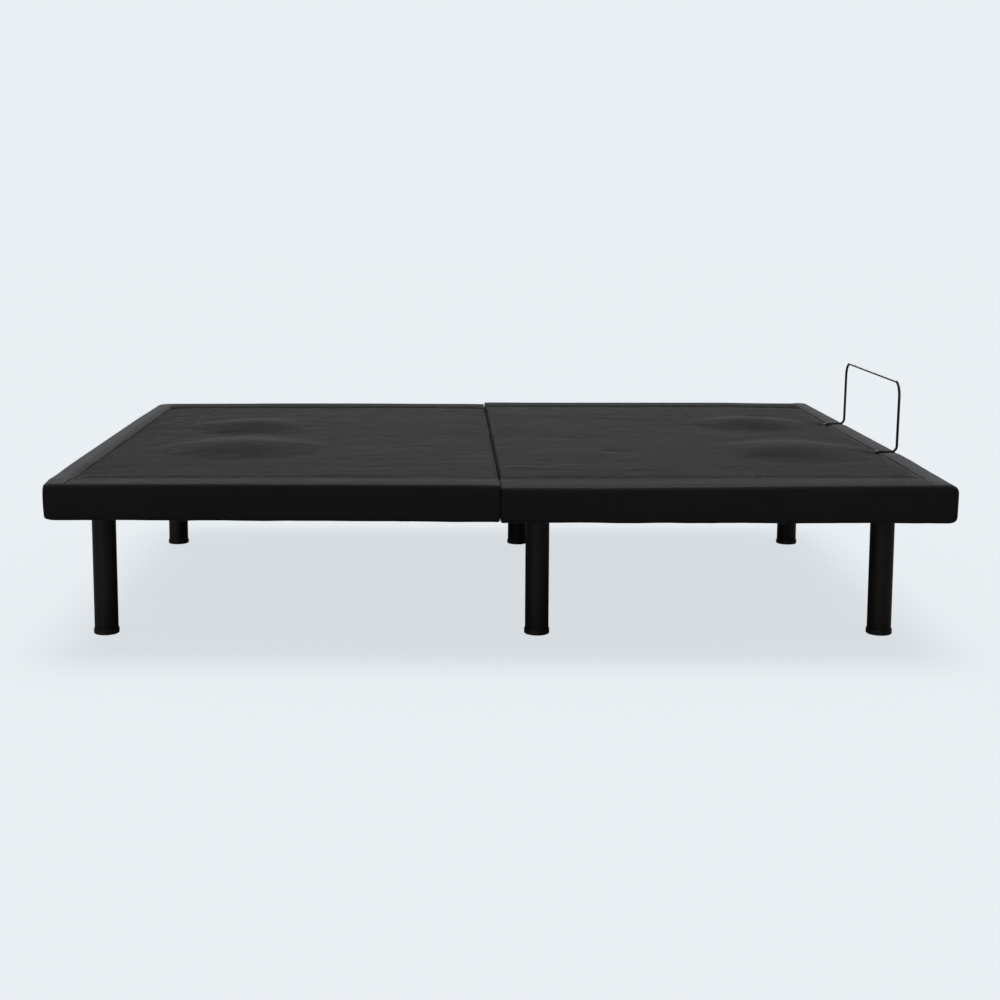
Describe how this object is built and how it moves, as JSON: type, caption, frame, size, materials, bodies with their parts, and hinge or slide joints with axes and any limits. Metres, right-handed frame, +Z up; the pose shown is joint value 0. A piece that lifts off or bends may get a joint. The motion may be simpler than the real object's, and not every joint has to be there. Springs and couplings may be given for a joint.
{
  "type": "adjustable bed base",
  "caption": "Flat upholstered bed base on black legs, split in two halves, with a lifting head panel, a lifting thigh panel whose foot panel stays level, and a mattress retainer bar.",
  "frame": {"origin": "on the floor under the centre of the deck, at the split between the two halves", "axes": "+Z up; +X along the bed towards the foot end with the retainer bar; the side seen in the picture faces -Y"},
  "size_m": [2.02, 1.514, 0.571],
  "materials": {
    "upholstery_fabric": "tightly stretched dark grey woven stretch fabric, matt with a soft sheen",
    "foam": "open-cell polyurethane foam, matt, cream",
    "plywood": "unfinished birch plywood, matt",
    "frame_steel": "black powder coat, satin",
    "leg_enamel": "black enamel, satin",
    "zinc_steel": "bright zinc plate, slightly dull",
    "rod_steel": "ground and polished rod",
    "retainer_coating": "black powder coat, satin",
    "tube_aluminium": "grey anodised, satin",
    "housing_plastic": "moulded black plastic, fine spark texture",
    "lid_plastic": "moulded dark grey plastic, matt",
    "glide_plastic": "black moulded polyethylene, matt"
  },
  "bodies": {
    "chassis": {"frame_head_half": "frame_steel", "frame_foot_half": "frame_steel", "splice_plates": "zinc_steel", "splice_bolts": "zinc_steel", "leg_head_front": "leg_enamel", "leg_head_rear": "leg_enamel", "leg_mid_front": "leg_enamel", "leg_mid_rear": "leg_enamel", "leg_foot_front": "leg_enamel", "leg_foot_rear": "leg_enamel", "mid_leg_spacers": "leg_enamel", "leg_sockets": "frame_steel", "leg_studs": "zinc_steel", "leg_glides": "glide_plastic", "seat_rails": "frame_steel", "seat_board_head": "plywood", "seat_board_foot": "plywood", "seat_pad_head": "foam", "seat_pad_foot": "foam", "seat_border_head": "plywood", "seat_border_foot": "plywood", "seat_cover_head": "upholstery_fabric", "seat_cover_foot": "upholstery_fabric", "head_hinge_pins": "zinc_steel", "thigh_hinge_pins": "zinc_steel", "strut_pivot_studs": "zinc_steel", "actuator_brackets": "frame_steel", "head_actuator_tube": "tube_aluminium", "head_actuator_gearbox": "housing_plastic", "foot_actuator_tube": "tube_aluminium", "foot_actuator_gearbox": "housing_plastic", "control_box": "housing_plastic", "control_box_lid": "lid_plastic", "power_supply": "housing_plastic"},
    "head_panel": {"head_subframe": "frame_steel", "head_board": "plywood", "head_pad": "foam", "head_border": "plywood", "head_cover": "upholstery_fabric", "head_massage_motors": "housing_plastic"},
    "head_rod": {"head_rod": "rod_steel"},
    "thigh_panel": {"thigh_subframe": "frame_steel", "thigh_board": "plywood", "thigh_pad": "foam", "thigh_border": "plywood", "thigh_cover": "upholstery_fabric", "knee_pins": "zinc_steel"},
    "foot_panel": {"foot_subframe": "frame_steel", "foot_board": "plywood", "foot_pad": "foam", "foot_border": "plywood", "foot_cover": "upholstery_fabric", "foot_massage_motors": "housing_plastic", "retainer_bar": "retainer_coating", "retainer_brackets": "zinc_steel", "foot_strut_pins": "zinc_steel"},
    "foot_struts": {"foot_struts": "frame_steel"},
    "foot_rod": {"foot_rod": "rod_steel"}
  },
  "joints": [
    {"name": "head_lift", "type": "hinge", "parent": "chassis", "child": "head_panel", "pos_m": [-0.24, 0, 0.362], "axis": [0, 1, 0], "range_deg": [0, 60]},
    {"name": "thigh_lift", "type": "hinge", "parent": "chassis", "child": "thigh_panel", "pos_m": [0.155, 0, 0.362], "axis": [0, -1, 0], "range_deg": [0, 35]},
    {"name": "knee", "type": "hinge", "parent": "thigh_panel", "child": "foot_panel", "pos_m": [0.585, 0, 0.362], "axis": [0, -1, 0], "range_deg": [-35, 0]},
    {"name": "foot_strut_swing", "type": "hinge", "parent": "chassis", "child": "foot_struts", "pos_m": [0.265, 0, 0.33], "axis": [0, -1, 0], "range_deg": [0, 35]},
    {"name": "head_rod_slide", "type": "slide", "parent": "chassis", "child": "head_rod", "axis": [-1, 0, 0], "range_m": [0, 0.103]},
    {"name": "foot_rod_slide", "type": "slide", "parent": "chassis", "child": "foot_rod", "axis": [1, 0, 0], "range_m": [0, 0.058]}
  ],
  "couplings": [
    {"joint": "knee", "follows": "thigh_lift", "ratio": -1},
    {"joint": "foot_strut_swing", "follows": "thigh_lift", "ratio": 1},
    {"joint": "head_rod_slide", "follows": "head_lift", "m_per_rad": 0.0972},
    {"joint": "foot_rod_slide", "follows": "thigh_lift", "m_per_rad": 0.0927}
  ]
}
